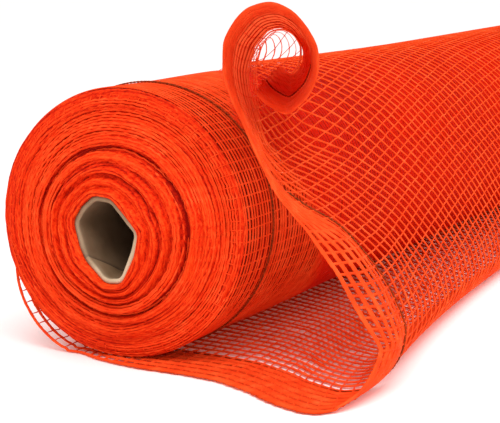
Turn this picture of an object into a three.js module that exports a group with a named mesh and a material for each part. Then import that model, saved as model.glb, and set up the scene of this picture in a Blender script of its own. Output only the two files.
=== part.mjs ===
// A roll of knitted debris netting on its cardboard core, with the outer end pulled loose.
// The loose end leaves the roll low at the back, runs forward under it, folds up in front and is laid
// back over the top, where its near selvedge curls up into a small open cone.
// Millimetres. X runs along the roll from its near face (at -X) to its far face, -Y is the front, where
// the net is folded, and Z is up. The origin is on the floor below the roll's axis, at mid-length, on the
// flat underside of the net's lower layer.
// Angles round the roll are degrees from the front (-Y), over the top (90), to the back (180).

import * as THREE from "three";

// Driving sizes.
const ROLL_LENGTH = 1000;
const ROLL_RADIUS = 86;
const ROLL_TAPER = 2.6; // it is wound this much smaller from the middle to the far end
const UNDER_ROLL = 1.5; // the height of its lowest line, before the flat spot
const RIM_ROUNDING = 6;
const RIM_SHOULDER = { place: 1.5, share: 0.992 }; // a point on the rounded rim
const BORE_LIP = 2; // the innermost turns stand back this far at the core
const NET_THICKNESS = 2;
const GAP = 0.3;
const CORE_WALL = 3;
const CORE_CENTRE = { y: 3, z: 79.5 };
const CORE_SHIFT = -15; // the tube stands out this far toward the near side
const ROUND_STEPS = 56;

// Where the cloth's middle lies when it is wrapped on the roll. The slack keeps its flat facets clear.
const WRAP_SLACK = 0.35;
const WRAP_OFFSET = GAP + WRAP_SLACK + NET_THICKNESS / 2;
const NEAR_X = -ROLL_LENGTH / 2;

// The crushed core's inside, as corners round its centre.
const CORE_CORNERS = [
  { angle: 12, radius: 20 },
  { angle: 82, radius: 23 },
  { angle: 108, radius: 25 },
  { angle: 133, radius: 23 },
  { angle: 157, radius: 22.5 },
  { angle: 222, radius: 18 },
  { angle: 268, radius: 25.5 },
  { angle: 291, radius: 26.5 },
  { angle: 334, radius: 19 },
];

// The end faces from the core to the rim: how far the turns have slid toward the near side, and how deep
// the groove between two groups of turns is there. share is 0 at the core and 1 at the rim.
const FACE_TURNS = [
  { share: 0.05, slide: 19, groove: 0 },
  { share: 0.1, slide: 18, groove: 3 },
  { share: 0.155, slide: 18, groove: 0 },
  { share: 0.21, slide: 17, groove: 4 },
  { share: 0.26, slide: 16.5, groove: 0 },
  { share: 0.31, slide: 15, groove: 4 },
  { share: 0.385, slide: 13, groove: 0 },
  { share: 0.46, slide: 11, groove: 6 },
  { share: 0.52, slide: 9.5, groove: 0 },
  { share: 0.58, slide: 8, groove: 3 },
  { share: 0.675, slide: 6, groove: 0 },
  { share: 0.77, slide: 4, groove: 3 },
  { share: 0.88, slide: 2.5, groove: 0 },
  { share: 0.96, slide: 1, groove: 0 },
];

// Shallow waists along the outside of the roll: place is millimetres from the near rim.
const WAISTS = [
  { place: 60, depth: 0.7 },
  { place: 150, depth: 0 },
  { place: 270, depth: 0.9 },
  { place: 400, depth: 0 },
  { place: 540, depth: 0.7 },
  { place: 700, depth: 0 },
  { place: 850, depth: 0.8 },
];

// The near selvedge's slide along the roll, against where it would lie if pulled straight round it.
// along is millimetres of cloth from where it reaches the floor behind to the front of the fold.
const FLOOR_SLIDE = [
  { along: -80, slide: 6 },
  { along: 0, slide: 4 },
  { along: 24, slide: -8 },
  { along: 59, slide: -16 },
  { along: 86, slide: -19 },
  { along: 116, slide: -25 },
  { along: 134, slide: -34 },
  { along: 152, slide: -45 },
  { along: 171, slide: -60 },
  { along: 188, slide: -70 },
  { along: 202, slide: -75 },
  { along: 212, slide: -68 },
  { along: 226, slide: -45 },
];

// The same from the front of the fold up the slope, by share of the way to the foot of the curl.
const SLOPE_SLIDE = [
  { share: 0, slide: -45 },
  { share: 0.07, slide: -30 },
  { share: 0.12, slide: -19 },
  { share: 0.2, slide: -17 },
  { share: 0.4, slide: -17 },
  { share: 0.55, slide: -19 },
  { share: 0.66, slide: -21 },
  { share: 0.75, slide: -27 },
  { share: 0.85, slide: -30 },
  { share: 1, slide: -26 },
];

// On the slope the cloth bows out in front of the taut way, and its near selvedge hangs in behind it.
const BOW = { selvedge: -4, cloth: 9, reach: 60, fade: 220 };

// The selvedge's way round the curl, from its foot on the slope: first up the stem, then once round the
// mouth and in behind the stem. The columns are offsets from the middle of the mouth.
const MOUTH = { x: -12, y: -108, z: 195 };
const CURL_WAY = [
  { x: -13, y: 1, z: -62 },
  { x: -14, y: 11, z: -41 },
  { x: -18, y: 18, z: -23 },
  { x: -20, y: 22, z: -7 },
  { x: -22, y: 21, z: 8 },
  { x: -23, y: 15, z: 20 },
  { x: -22, y: 4, z: 31 },
  { x: -20, y: -8, z: 34 },
  { x: -17, y: -19, z: 30 },
  { x: -12, y: -28, z: 19 },
  { x: -7, y: -32, z: 7 },
  { x: -1, y: -30, z: -6 },
  { x: 6, y: -23, z: -19 },
  { x: 12, y: -13, z: -28 },
  { x: 17, y: -2, z: -34 },
  { x: 21, y: 9, z: -31 },
  { x: 24, y: 20, z: -24 },
  { x: 26, y: 26, z: -14 },
  { x: 27, y: 26, z: -4 },
  { x: 26, y: 22, z: 6 },
];

// The cone behind the mouth narrows to nothing here, on top of the roll.
const CONE_END = { x: 300, angle: 104 };
const CONE_MEMBRANE = 110; // from here back the cone closes quickly
const CONE_NARROWED = 0.78; // its size there, against the mouth
const CONE_LEAST = 0.1; // the smallest size it is drawn at, where it has opened out flat
const CONE_CLEARANCE = 4; // how far its underside stays off the roll, at the mouth
const CUT_END_ANGLE = 150; // past the cone, the cut end lies on the back of the roll's top

// Places along the cloth's width where its cross-section is worked out, from the near selvedge.
const WIDTHS = [
  0, 14, 30, 50, 72, 96, 120, 142, 164, 186, 208, 230, 254, 280, 310, 360, 440, 550, 680, 840, 1000,
];
const ROWS = { lead: 3, sag: 11, floor: 9, fold: 8, slope: 15, curl: 24 };

// The loose end starts against the roll low at the back, leaves it there and sags to the floor.
const START_ANGLE = 188;
const LEAVE_ANGLE = 202;
const SAG_PULL = 0.42; // how far the sag's curve keeps its direction at each end, as a share of its span
const SAG_BULGE = 12; // how far it stands out behind the roll at the near side

const radians = (degrees) => (degrees * Math.PI) / 180;
const degrees = (angle) => (angle * 180) / Math.PI;
const mix = (a, b, t) => a + (b - a) * t;
const clamp01 = (t) => Math.min(1, Math.max(0, t));
const smooth = (t) => clamp01(t) * clamp01(t) * (3 - 2 * clamp01(t));

// A value between the rows of a table, on a smooth curve through them that never overshoots.
function between(rows, key, value, at) {
  if (at <= rows[0][key]) return rows[0][value];
  const last = rows.length - 1;
  if (at >= rows[last][key]) return rows[last][value];
  let i = 0;
  while (rows[i + 1][key] < at) i += 1;
  const steepness = (k) => (rows[k + 1][value] - rows[k][value]) / (rows[k + 1][key] - rows[k][key]);
  const tangent = (k) => {
    if (k === 0 || k === last) return steepness(Math.min(k, last - 1));
    const before = steepness(k - 1);
    const after = steepness(k);
    return before * after <= 0 ? 0 : (2 * before * after) / (before + after);
  };
  const width = rows[i + 1][key] - rows[i][key];
  const t = (at - rows[i][key]) / width;
  const start = (1 + 2 * t) * (1 - t) * (1 - t) * rows[i][value] + t * (1 - t) * (1 - t) * width * tangent(i);
  const end = t * t * (3 - 2 * t) * rows[i + 1][value] - t * t * (1 - t) * width * tangent(i + 1);
  return start + end;
}

// Distance from the centre of a polygon of corners to its side, in the direction of an angle.
function cornerRadius(corners, angle) {
  const turn = ((angle % 360) + 360) % 360;
  const after = corners.find((corner) => corner.angle > turn) ?? corners[0];
  const before = corners[(corners.indexOf(after) + corners.length - 1) % corners.length];
  const spread = radians((after.angle - before.angle + 360) % 360);
  const fromBefore = radians((turn - before.angle + 360) % 360);
  const across = before.radius * Math.sin(fromBefore) + after.radius * Math.sin(spread - fromBefore);
  return (before.radius * after.radius * Math.sin(spread)) / across;
}

// The roll's radius and the height of its axis, by the distance from its near rim.
const rollRadius = (place) => ROLL_RADIUS - ROLL_TAPER * smooth(place / 550);
const axisHeight = (place) => rollRadius(place) + UNDER_ROLL;
const lieRadius = (place) => rollRadius(place) + WRAP_OFFSET;

// A closed body from a grid of points. rings[i][j] wraps round in j, and in i too when it is a closed tube.
function closedGrid(rings) {
  const count = rings[0].length;
  const positions = rings.flat().flatMap((point) => [point.x, point.y, point.z]);
  const faces = [];
  for (let i = 0; i < rings.length; i += 1) {
    const next = (i + 1) % rings.length;
    for (let j = 0; j < count; j += 1) {
      const beside = (j + 1) % count;
      const corners = [i * count + j, next * count + j, next * count + beside, i * count + beside];
      faces.push(corners[0], corners[1], corners[2], corners[0], corners[2], corners[3]);
    }
  }
  return solidGeometry(positions, faces);
}

// A geometry with its faces turned outwards, whichever way the grid was walked.
function solidGeometry(positions, faces) {
  let volume = 0;
  for (let k = 0; k < faces.length; k += 3) {
    const [a, b, c] = [faces[k], faces[k + 1], faces[k + 2]].map((index) =>
      new THREE.Vector3().fromArray(positions, index * 3),
    );
    volume += a.dot(b.cross(c));
  }
  if (volume < 0) {
    for (let k = 0; k < faces.length; k += 3) [faces[k + 1], faces[k + 2]] = [faces[k + 2], faces[k + 1]];
  }
  const geometry = new THREE.BufferGeometry();
  geometry.setAttribute("position", new THREE.Float32BufferAttribute(positions, 3));
  geometry.setIndex(faces);
  geometry.computeVertexNormals();
  return geometry;
}

const roundAngles = Array.from({ length: ROUND_STEPS }, (_, j) => (360 * j) / ROUND_STEPS);

// A ring of the crushed core's shape, a given distance outside its inside wall.
function coreRing(x, outside) {
  return roundAngles.map((angle) => {
    const radius = cornerRadius(CORE_CORNERS, angle) + outside;
    const y = CORE_CENTRE.y - radius * Math.cos(radians(angle));
    const z = CORE_CENTRE.z + radius * Math.sin(radians(angle));
    return { x, y, z };
  });
}

function coreTube() {
  const near = NEAR_X + CORE_SHIFT;
  const far = near + ROLL_LENGTH;
  const outside = [coreRing(near, CORE_WALL), coreRing(far, CORE_WALL)];
  return closedGrid([coreRing(near, 0), ...outside, coreRing(far, 0)]);
}

// A ring of the roll's turns between the core and the outside, kept off the net that lies under the roll.
function turnRing(x, share, dip = 0) {
  const floorTop = NET_THICKNESS + GAP;
  const radius = rollRadius(x - NEAR_X) - dip;
  const bore = coreRing(x, CORE_WALL + GAP);
  const boreRadii = bore.map((point) => Math.hypot(point.y - CORE_CENTRE.y, point.z - CORE_CENTRE.z));
  const mean = boreRadii.reduce((sum, length) => sum + length, 0) / bore.length;
  return roundAngles.map((angle, j) => {
    const out = { y: -Math.cos(radians(angle)), z: Math.sin(radians(angle)) };
    const even = { y: CORE_CENTRE.y + mean * out.y, z: CORE_CENTRE.z + mean * out.z };
    const fade = (1 - share) * (1 - share);
    const inner = { y: mix(even.y, bore[j].y, fade), z: mix(even.z, bore[j].z, fade) };
    const outer = { y: radius * out.y, z: axisHeight(x - NEAR_X) + radius * out.z };
    return { x, y: mix(inner.y, outer.y, share), z: Math.max(floorTop, mix(inner.z, outer.z, share)) };
  });
}

function nettingRoll() {
  const first = FACE_TURNS[0];
  const far = NEAR_X + ROLL_LENGTH;
  const nearFace = FACE_TURNS.map((row) => turnRing(NEAR_X - row.slide + row.groove, row.share));
  const farFace = FACE_TURNS.map((row) => turnRing(far - row.slide - row.groove, row.share)).reverse();
  const outside = WAISTS.map((row) => turnRing(NEAR_X + row.place, 1, row.depth));
  return closedGrid([
    turnRing(NEAR_X - first.slide + BORE_LIP, 0),
    ...nearFace,
    turnRing(NEAR_X + RIM_SHOULDER.place, RIM_SHOULDER.share),
    turnRing(NEAR_X + RIM_ROUNDING, 1),
    ...outside,
    turnRing(far - RIM_ROUNDING, 1),
    turnRing(far - RIM_SHOULDER.place, RIM_SHOULDER.share),
    ...farFace,
    turnRing(far - first.slide - BORE_LIP, 0),
  ]);
}

// A point on a circle round the roll's axis.
function onRoll(place, angle, radius = lieRadius(place)) {
  return { y: -radius * Math.cos(radians(angle)), z: axisHeight(place) + radius * Math.sin(radians(angle)) };
}

// A point moved straight out from the roll's axis until it is clear of it.
function clearOfRoll(place, point, extra = 0) {
  const height = point.z - axisHeight(place);
  const push = Math.max(1, (lieRadius(place) + extra) / Math.hypot(point.y, height));
  return { y: point.y * push, z: axisHeight(place) + height * push };
}

// The straight stretch that leaves the fold's circle and touches a second circle, or ends at a point if
// that circle's radius is 0.
function tangent(fold, circle) {
  const dy = circle.y - fold.y;
  const dz = circle.z - fold.z;
  const heading = Math.atan2(dz, dy) + Math.asin((circle.radius - fold.radius) / Math.hypot(dy, dz));
  const side = { y: -Math.sin(heading), z: Math.cos(heading) };
  return {
    from: { y: fold.y + fold.radius * side.y, z: fold.z + fold.radius * side.z },
    to: { y: circle.y + circle.radius * side.y, z: circle.z + circle.radius * side.z },
    side,
    angle: degrees(Math.atan2(side.z, -side.y)),
  };
}

// The taut way from the fold to a point above the roll, as a fine polyline.
function slopeTo(fold, place, radius, target) {
  const height = axisHeight(place);
  const straight = tangent(fold, { ...target, radius: 0 });
  const toAxis = { y: -straight.from.y, z: height - straight.from.z };
  const heading = { y: straight.side.z, z: -straight.side.y };
  const clearance = -(toAxis.y * straight.side.y + toAxis.z * straight.side.z);
  const passes = toAxis.y * heading.y + toAxis.z * heading.z;
  const reach = Math.hypot(target.y - straight.from.y, target.z - straight.from.z);
  const touch = tangent(fold, { y: 0, z: height, radius });
  const distance = Math.max(radius, Math.hypot(target.y, target.z - height));
  const targetAngle = degrees(Math.atan2(target.z - height, -target.y));
  const leaveAngle = targetAngle - degrees(Math.acos(radius / distance));
  const direct = clearance >= radius || passes >= reach || leaveAngle <= touch.angle;
  const points = [direct ? straight.from : touch.from];
  if (!direct) {
    const steps = Math.max(2, Math.ceil((leaveAngle - touch.angle) / 2));
    for (let k = 0; k <= steps; k += 1) {
      points.push(onRoll(place, mix(touch.angle, leaveAngle, k / steps), radius));
    }
  }
  points.push(target);
  return { points, leavesFold: direct ? straight.angle : touch.angle };
}

// Points at even distances along a polyline, without its first point.
function evenly(points, count) {
  const lengths = [0];
  for (let k = 1; k < points.length; k += 1) {
    const step = Math.hypot(points[k].y - points[k - 1].y, points[k].z - points[k - 1].z);
    lengths.push(lengths[k - 1] + step);
  }
  const total = lengths[lengths.length - 1];
  return Array.from({ length: count }, (_, n) => {
    const at = (total * (n + 1)) / count;
    let k = 1;
    while (k < lengths.length - 1 && lengths[k] < at) k += 1;
    const t = (at - lengths[k - 1]) / (lengths[k] - lengths[k - 1]);
    return { y: mix(points[k - 1].y, points[k].y, t), z: mix(points[k - 1].z, points[k].z, t) };
  });
}

// The fold in front of the roll is wide and high at the near side and draws in toward the far side.
const foldFront = (x) => -(101 + 80 * Math.exp(-x / 380)) + 17 * (Math.max(0, -x) / 75) ** 1.5;
const foldRadius = (x) => 10 + 5.5 * Math.exp(-Math.max(x, -80) / 250);
// Behind the roll the net sags to the floor this far back.
const floorContact = (u) => 12 + 24 * Math.exp(-u / 260);
// How far the upper layer stays off the roll's front: most at the near side.
const slopeRadius = (u) => lieRadius(u) + 7.5 * Math.exp(-u / 90);

// How far the cone has closed and opened out flat: 0 up to its membrane, 1 from its end on.
const coneClosed = (u) => smooth((u - CONE_MEMBRANE) / (CONE_END.x - CONE_MEMBRANE));

// The cone's size behind the mouth, against the mouth's own.
function coneSize(u) {
  if (u < CONE_MEMBRANE) return mix(1, CONE_NARROWED, u / CONE_MEMBRANE);
  return Math.max(CONE_LEAST, CONE_NARROWED * (1 - coneClosed(u)));
}

// How far the slope stands out in front of the taut way, by the share of the way up.
function slopeBow(u, share) {
  const most = mix(BOW.selvedge, BOW.cloth, smooth(u / BOW.reach)) * Math.exp(-u / BOW.fade);
  return most * Math.sin(Math.PI * share);
}

// A point of the curl, a share of the way along it, at a distance u from the near selvedge.
function curlPoint(u, share) {
  const flat = onRoll(u, mix(CONE_END.angle, CUT_END_ANGLE, share));
  if (u >= CONE_END.x) return { x: u, ...flat };
  const way = CURL_WAY.map((row, k) => ({ ...row, share: k / (CURL_WAY.length - 1) }));
  const size = coneSize(u);
  const end = onRoll(u, CONE_END.angle);
  const back = u / CONE_END.x;
  const x = u + (MOUTH.x + between(way, "share", "x", share)) * (1 - back);
  const y = mix(MOUTH.y, end.y, back) + between(way, "share", "y", share) * size;
  const z = mix(MOUTH.z, end.z, back) + between(way, "share", "z", share) * size;
  const opened = coneClosed(u);
  const point = { y: mix(y, flat.y, opened), z: mix(z, flat.z, opened) };
  return { x, ...clearOfRoll(u, point, CONE_CLEARANCE * (1 - back)) };
}

// The cloth's middle along one column, from where it leaves the roll to its cut end.
function clothColumn(u) {
  const straightened = 1 - u / ROLL_LENGTH;
  const middle = NET_THICKNESS / 2;
  const points = [];
  for (let k = 0; k < ROWS.lead; k += 1) points.push(onRoll(u, mix(START_ANGLE, LEAVE_ANGLE, k / ROWS.lead)));
  // The sag behind the roll, on a curve that leaves the roll and meets the floor smoothly.
  const leave = onRoll(u, LEAVE_ANGLE);
  const contact = { y: floorContact(u), z: middle };
  const pull = SAG_PULL * Math.hypot(contact.y - leave.y, contact.z - leave.z);
  const below = {
    y: leave.y + Math.sin(radians(LEAVE_ANGLE)) * pull + SAG_BULGE * Math.exp(-u / 150),
    z: leave.z + Math.cos(radians(LEAVE_ANGLE)) * pull,
  };
  const behind = { y: contact.y + 0.7 * pull, z: middle };
  for (let k = 0; k < ROWS.sag; k += 1) {
    const t = k / ROWS.sag;
    const weights = [(1 - t) ** 3, 3 * (1 - t) ** 2 * t, 3 * (1 - t) * t * t, t ** 3];
    const guides = [leave, below, behind, contact];
    const y = guides.reduce((sum, p, n) => sum + weights[n] * p.y, 0);
    const z = guides.reduce((sum, p, n) => sum + weights[n] * p.z, 0);
    const clear = clearOfRoll(u, { y, z });
    points.push({ y: clear.y, z: Math.max(middle, clear.z) });
  }
  const floorStart = points.length;
  // Along the floor to the fold.
  const floorEnd = FLOOR_SLIDE[FLOOR_SLIDE.length - 1];
  const foldX = u + floorEnd.slide * straightened;
  const fold = { radius: foldRadius(foldX) };
  fold.y = foldFront(foldX) + fold.radius;
  fold.z = middle + fold.radius;
  for (let k = 0; k < ROWS.floor; k += 1) {
    points.push({ y: mix(contact.y, fold.y, k / ROWS.floor), z: middle });
  }
  // Round the fold and up the slope to the foot of the curl.
  const foot = curlPoint(u, 0);
  const slope = slopeTo(fold, u, slopeRadius(u), foot);
  const foldStart = points.length;
  for (let k = 0; k <= ROWS.fold; k += 1) {
    const angle = mix(-90, slope.leavesFold, k / ROWS.fold);
    const y = fold.y - fold.radius * Math.cos(radians(angle));
    points.push({ y, z: fold.z + fold.radius * Math.sin(radians(angle)) });
  }
  const taut = evenly(slope.points, ROWS.slope);
  taut.forEach((point, k) => {
    const before = k === 0 ? points[points.length - 1] : taut[k - 1];
    const after = taut[Math.min(k + 1, taut.length - 1)];
    const heading = Math.atan2(after.z - before.z, after.y - before.y);
    const bow = slopeBow(u, (k + 1) / ROWS.slope);
    points.push({ y: point.y - bow * Math.sin(heading), z: point.z + bow * Math.cos(heading) });
  });
  // Lengths along the cloth so far give each point its slide along the roll.
  const lengths = [0];
  for (let k = 1; k < points.length; k += 1) {
    const step = Math.hypot(points[k].y - points[k - 1].y, points[k].z - points[k - 1].z);
    lengths.push(lengths[k - 1] + step);
  }
  const total = lengths[lengths.length - 1];
  const frontRow = foldStart + Math.round(ROWS.fold / 2);
  const footSlide = foot.x - u;
  const slopeEnd = SLOPE_SLIDE[SLOPE_SLIDE.length - 1];
  points.forEach((point, k) => {
    const past = lengths[k] - lengths[floorStart];
    const scale = k < floorStart ? 1 : floorEnd.along / (lengths[frontRow] - lengths[floorStart]);
    const share = (lengths[k] - lengths[frontRow]) / (total - lengths[frontRow]);
    if (k <= frontRow) {
      point.x = u + between(FLOOR_SLIDE, "along", "slide", past * scale) * straightened;
    } else {
      const slide = between(SLOPE_SLIDE, "share", "slide", share) * straightened;
      point.x = u + slide + (footSlide - slopeEnd.slide * straightened) * share * share;
    }
  });
  for (let k = 1; k <= ROWS.curl; k += 1) points.push(curlPoint(u, k / ROWS.curl));
  return points.map((point) => new THREE.Vector3(point.x + NEAR_X, point.y, point.z));
}

// A sheet of the net's thickness with its middle on the columns.
function looseEnd() {
  const columns = WIDTHS.map(clothColumn);
  const rows = columns[0].length;
  const half = NET_THICKNESS / 2;
  const normals = columns.map((column, i) =>
    column.map((point, j) => {
      const across = columns[Math.min(i + 1, columns.length - 1)][j].clone();
      across.sub(columns[Math.max(i - 1, 0)][j]);
      const along = column[Math.min(j + 1, rows - 1)].clone().sub(column[Math.max(j - 1, 0)]);
      return across.cross(along).normalize();
    }),
  );
  const sideOf = (sign) =>
    columns.flatMap((column, i) =>
      column.flatMap((point, j) => {
        const moved = point.clone().addScaledVector(normals[i][j], sign * half);
        const upper = Math.sign(normals[i][j].z) === sign;
        const onFloor = upper ? NET_THICKNESS : 0;
        return [moved.x, moved.y, point.z <= half ? onFloor : Math.max(0, moved.z)];
      }),
    );
  const positions = [...sideOf(1), ...sideOf(-1)];
  const under = columns.length * rows;
  const faces = [];
  const quad = (a, b, c, d) => faces.push(a, b, c, a, c, d);
  for (let i = 0; i < columns.length - 1; i += 1) {
    for (let j = 0; j < rows - 1; j += 1) {
      const [a, b, c, d] = [i * rows + j, i * rows + j + 1, (i + 1) * rows + j + 1, (i + 1) * rows + j];
      quad(a, b, c, d);
      quad(under + d, under + c, under + b, under + a);
    }
  }
  for (let j = 0; j < rows - 1; j += 1) {
    const far = (columns.length - 1) * rows;
    quad(j + 1, j, under + j, under + j + 1);
    quad(far + j, far + j + 1, under + far + j + 1, under + far + j);
  }
  for (let i = 0; i < columns.length - 1; i += 1) {
    const [here, there] = [i * rows, (i + 1) * rows];
    quad(here, there, under + there, under + here);
    quad(there + rows - 1, here + rows - 1, under + here + rows - 1, under + there + rows - 1);
  }
  return solidGeometry(positions, faces);
}

const netting = new THREE.MeshStandardMaterial({ color: "#f4421e", roughness: 0.5, metalness: 0 });
const looseNetting = new THREE.MeshStandardMaterial({ color: "#fb4f27", roughness: 0.5, metalness: 0 });
const cardboard = new THREE.MeshStandardMaterial({ color: "#a5825f", roughness: 0.9, metalness: 0 });

const group = new THREE.Group();
const add = (name, geometry, material) => {
  const mesh = new THREE.Mesh(geometry, material);
  mesh.name = name;
  group.add(mesh);
};
add("netting_roll", nettingRoll(), netting);
add("loose_end", looseEnd(), looseNetting);
add("core_tube", coreTube(), cardboard);

export default group;
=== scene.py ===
"""A roll of orange knitted debris netting with its outer end pulled loose and folded back over it.

The scene draws the real mesh: every chain of stitches and every cross yarn of the loose end, the outer
turn of the roll, the edges of the turns on its end faces, the marker threads and the cardboard core.
"""

import math
from types import SimpleNamespace as Values

import bpy
import numpy as np
from bpy.props import FloatProperty, FloatVectorProperty, PointerProperty
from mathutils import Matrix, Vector


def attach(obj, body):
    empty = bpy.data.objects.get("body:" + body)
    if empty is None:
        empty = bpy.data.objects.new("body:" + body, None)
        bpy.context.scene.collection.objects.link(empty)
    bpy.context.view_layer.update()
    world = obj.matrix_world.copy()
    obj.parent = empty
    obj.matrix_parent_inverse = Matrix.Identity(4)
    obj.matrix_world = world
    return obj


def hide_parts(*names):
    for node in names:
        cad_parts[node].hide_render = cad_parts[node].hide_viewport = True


bl_info = {
    "name": "Roll of debris netting",
    "version": (1, 0, 0),
    "blender": (4, 5, 0),
    "location": "View3D > Sidebar > Netting",
    "description": "Builds the knitted yarns, wound turns and core of a roll of debris netting",
    "category": "Object",
}

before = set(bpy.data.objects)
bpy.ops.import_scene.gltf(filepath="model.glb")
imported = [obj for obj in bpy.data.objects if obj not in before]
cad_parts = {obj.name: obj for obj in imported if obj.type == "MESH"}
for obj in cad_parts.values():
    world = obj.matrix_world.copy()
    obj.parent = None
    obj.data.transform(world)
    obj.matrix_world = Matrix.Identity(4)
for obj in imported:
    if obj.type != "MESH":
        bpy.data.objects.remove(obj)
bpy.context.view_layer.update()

MM = 0.001

# The solid model's own sizes, in millimetres. x runs from the middle of the roll, and a place or u from
# its near end or the selvedge. In a table each column is a list.
ROLL_LENGTH = 1000.0
NEAR_X = -500.0
ROLL_RADIUS = 86.0
ROLL_TAPER = Values(narrower=2.6, over=550.0)
UNDER_ROLL = 1.5
RIM_ROUNDING = 6.0
NET_THICKNESS = 2.0
GAP = 0.3
CORE_WALL = 3.0
CORE_CENTRE = Values(y=3.0, z=79.5)
CORE_SHIFT = -15.0
WRAP_SLACK = 0.35
WRAP_OFFSET = GAP + WRAP_SLACK + NET_THICKNESS / 2
# The lowest point of the wound body.
LOWEST = NET_THICKNESS + GAP
CORE_CORNERS = {
    "angle": [12, 82, 108, 133, 157, 222, 268, 291, 334],
    "radius": [20, 23, 25, 23, 22.5, 18, 25.5, 26.5, 19],
}
# The end faces from the core (share 0) to the rim (share 1), as in the solid model.
FACE_TURNS = {
    "share": [0, 0.05, 0.1, 0.155, 0.21, 0.26, 0.31, 0.385, 0.46, 0.52, 0.58, 0.675, 0.77, 0.88, 0.96, 1],
    "slide": [17, 19, 18, 18, 17, 16.5, 15, 13, 11, 9.5, 8, 6, 4, 2.5, 1, 0],
    "groove": [0, 0, 3, 0, 4, 0, 4, 0, 6, 0, 3, 0, 3, 0, 0, 0],
}
WAISTS = {
    "place": [0, 60, 150, 270, 400, 540, 700, 850, 1000],
    "depth": [0, 0.7, 0, 0.9, 0, 0.7, 0, 0.8, 0],
}

# The loose end leaves the back of the roll, sags to the floor, folds and lies back over the roll. What is
# called near holds at the selvedge and fades with the distance from it.
START_ANGLE = 188.0
LEAVE_ANGLE = 202.0
CUT_END_ANGLE = 150.0
SAG = Values(pull=0.42, behind=0.7, near=12.0, fade=150.0)
TOUCH = Values(y=12.0, near=24.0, fade=260.0)
FOLD = Values(radius=10.0, near=5.5, fade=250.0, start=-80.0)
FRONT = Values(y=101.0, near=80.0, fade=380.0, corner=17.0, over=75.0, power=1.5)
LIFT = Values(near=7.5, fade=90.0)
BOW = Values(selvedge=-4, cloth=9, reach=60, fade=220)
ROWS = Values(lead=10, sag=40, floor=60, fold=30, slope=100, curl=160)
# The selvedge's slide along the roll on the floor and up the slope.
FLOOR_SLIDE = {
    "along": [-80, 0, 24, 59, 86, 116, 134, 152, 171, 188, 202, 212, 226],
    "slide": [6, 4, -8, -16, -19, -25, -34, -45, -60, -70, -75, -68, -45],
}
SLOPE_SLIDE = {
    "share": [0, 0.07, 0.12, 0.2, 0.4, 0.55, 0.66, 0.75, 0.85, 1],
    "slide": [-45, -30, -19, -17, -17, -19, -21, -27, -30, -26],
}

# The way round the curl, as offsets from the middle of its mouth. Behind the mouth it narrows to a cone.
MOUTH = {"x": -12, "y": -108, "z": 195}
CURL_WAY = {
    "x": [-13, -14, -18, -20, -22, -23, -22, -20, -17, -12, -7, -1, 6, 12, 17, 21, 24, 26, 27, 26],
    "y": [1, 11, 18, 22, 21, 15, 4, -8, -19, -28, -32, -30, -23, -13, -2, 9, 20, 26, 26, 22],
    "z": [-62, -41, -23, -7, 8, 20, 31, 34, 30, 19, 7, -6, -19, -28, -34, -31, -24, -14, -4, 6],
}
CONE = Values(membrane=110.0, narrowed=0.78, least=0.1, clearance=4.0, end=300.0, angle=104.0)
# The curl draws in quickly behind its mouth, so that the selvedge band shows as a thick ring.
MOUTH_LIP = {"reach": 120.0, "narrowed": 0.33, "y": -6.0, "z": 4.0, "foot": 0.25}

# How far each chain of the net lies toward the far side of where an even net would have it, as the cloth
# is drawn askew toward the curl. cloth is its distance from the selvedge in the flat net.
DRIFT = {
    "cloth": [0, 50, 90, 140, 210, 300, 420, 700, 1000],
    "back": [0, 0, 0, 0, 0, 0, 0, 0, 0],
    "floor": [0, -2, -10, -22, -38, -55, -60, -20, 0],
    "front": [2, 10, 32, 56, 70, 73, 70, 30, 0],
    "low": [8, 26, 41, 38, 43, 52, 54, 24, 0],
    "middle": [14, 15, 15, 6, -10, 9, 13, 6, 0],
    "high": [14, -14, -16, -24, -50, -42, -25, -12, 0],
    "foot": [4, -30, -48, -62, -80, -76, -50, -20, 0],
    "ring": [0, -10, -20, -30, -45, -50, -40, -10, 0],
    "mouth": [0, -4, -5, -5, -10, -20, -20, -5, 0],
}
# Where each of those columns holds: -1 is the back of the roll, 0 the front of the fold, 1 the foot of the
# curl, and from there to 2 it goes once round the curl. This is the share that all of the cloth goes by.
DRIFT_SHARES = {
    "back": -1.0,
    "floor": -0.12,
    "front": 0.06,
    "low": 0.3,
    "middle": 0.5,
    "high": 0.72,
    "foot": 1.0,
    "ring": 1.3,
    "mouth": 1.6,
}
# The rows of cross yarns run askew too: this far from the selvedge they lie this much further on.
# On the floor the rows run straight.
ROW_LEAD = Values(most=39.0, start=60.0, over=130.0, band=0.42)


def mix(a, b, t):
    return a + (b - a) * t


def smooth(t):
    t = np.clip(t, 0.0, 1.0)
    return t * t * (3 - 2 * t)


def ramp(value, start, over):
    """Rises smoothly from 0 at start to 1 once the value is this far over it."""
    return smooth((value - start) / over)


def between(table, key, value, at):
    """A value between the rows of a table, on a smooth curve through them that never overshoots."""
    xs = np.array(table[key], float)
    ys = np.array(table[value], float)
    slopes = np.diff(ys) / np.diff(xs)
    tangents = np.empty_like(ys)
    tangents[0] = slopes[0]
    tangents[-1] = slopes[-1]
    for k in range(1, len(ys) - 1):
        product = slopes[k - 1] * slopes[k]
        tangents[k] = 0.0 if product <= 0 else 2 * product / (slopes[k - 1] + slopes[k])
    at = np.clip(at, xs[0], xs[-1])
    i = np.clip(np.searchsorted(xs, at, side="right") - 1, 0, len(xs) - 2)
    width = xs[i + 1] - xs[i]
    t = (at - xs[i]) / width
    start = (1 + 2 * t) * (1 - t) ** 2 * ys[i] + t * (1 - t) ** 2 * width * tangents[i]
    end = t * t * (3 - 2 * t) * ys[i + 1] - t * t * (1 - t) * width * tangents[i + 1]
    return start + end


def fading(shape, u):
    """What of a shape's near part is left at this distance from the selvedge."""
    return shape.near * math.exp(-u / shape.fade)


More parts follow.
